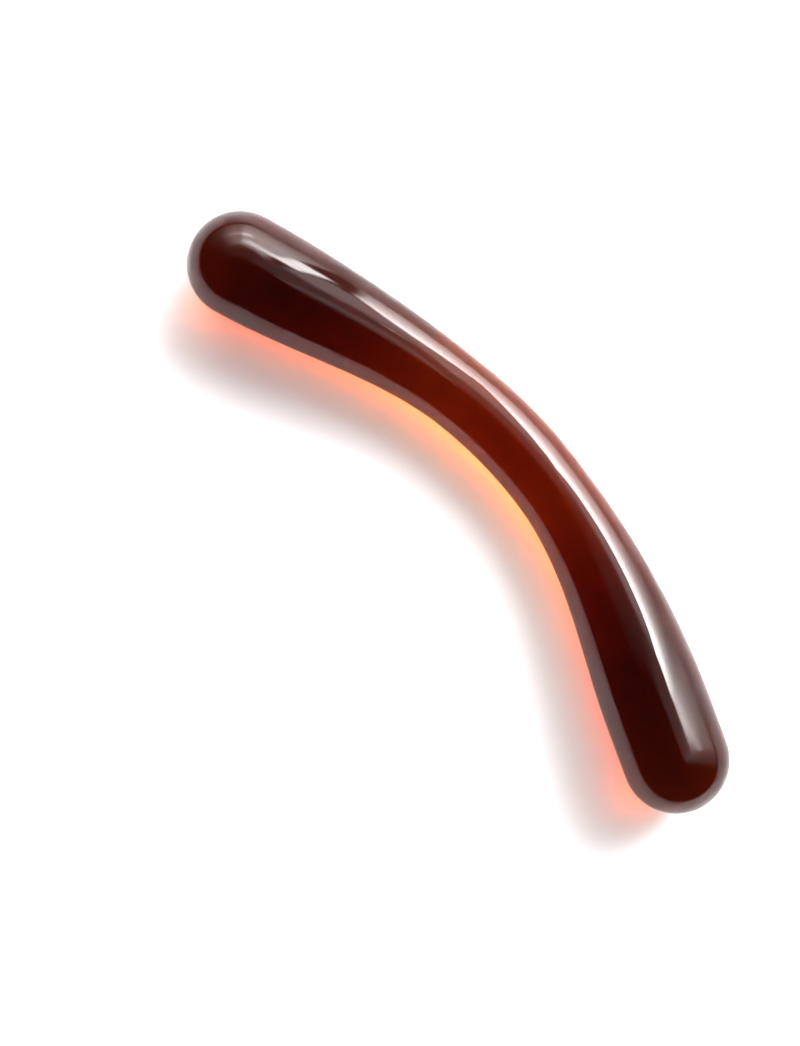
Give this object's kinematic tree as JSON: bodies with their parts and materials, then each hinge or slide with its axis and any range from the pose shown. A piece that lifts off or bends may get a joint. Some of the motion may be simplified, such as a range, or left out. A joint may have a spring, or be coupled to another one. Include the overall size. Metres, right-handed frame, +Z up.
{
  "type": "curved glass massage wand",
  "caption": "Solid amber glass wand, bowed along its length, with rounded bulbous ends and a slimmer waist for the hand.",
  "frame": {"origin": "middle of the bounding box, on the surface that the wand lies on", "axes": "+X along the wand from the left bulb to the right bulb, +Y to the outer side of the bow, +Z up"},
  "size_m": [0.1926, 0.0452, 0.0288],
  "materials": {
    "amber_glass": "polished, deep amber brown, clear, coloured right through"
  },
  "bodies": {
    "root": {"glass_wand": "amber_glass"}
  },
  "joints": []
}
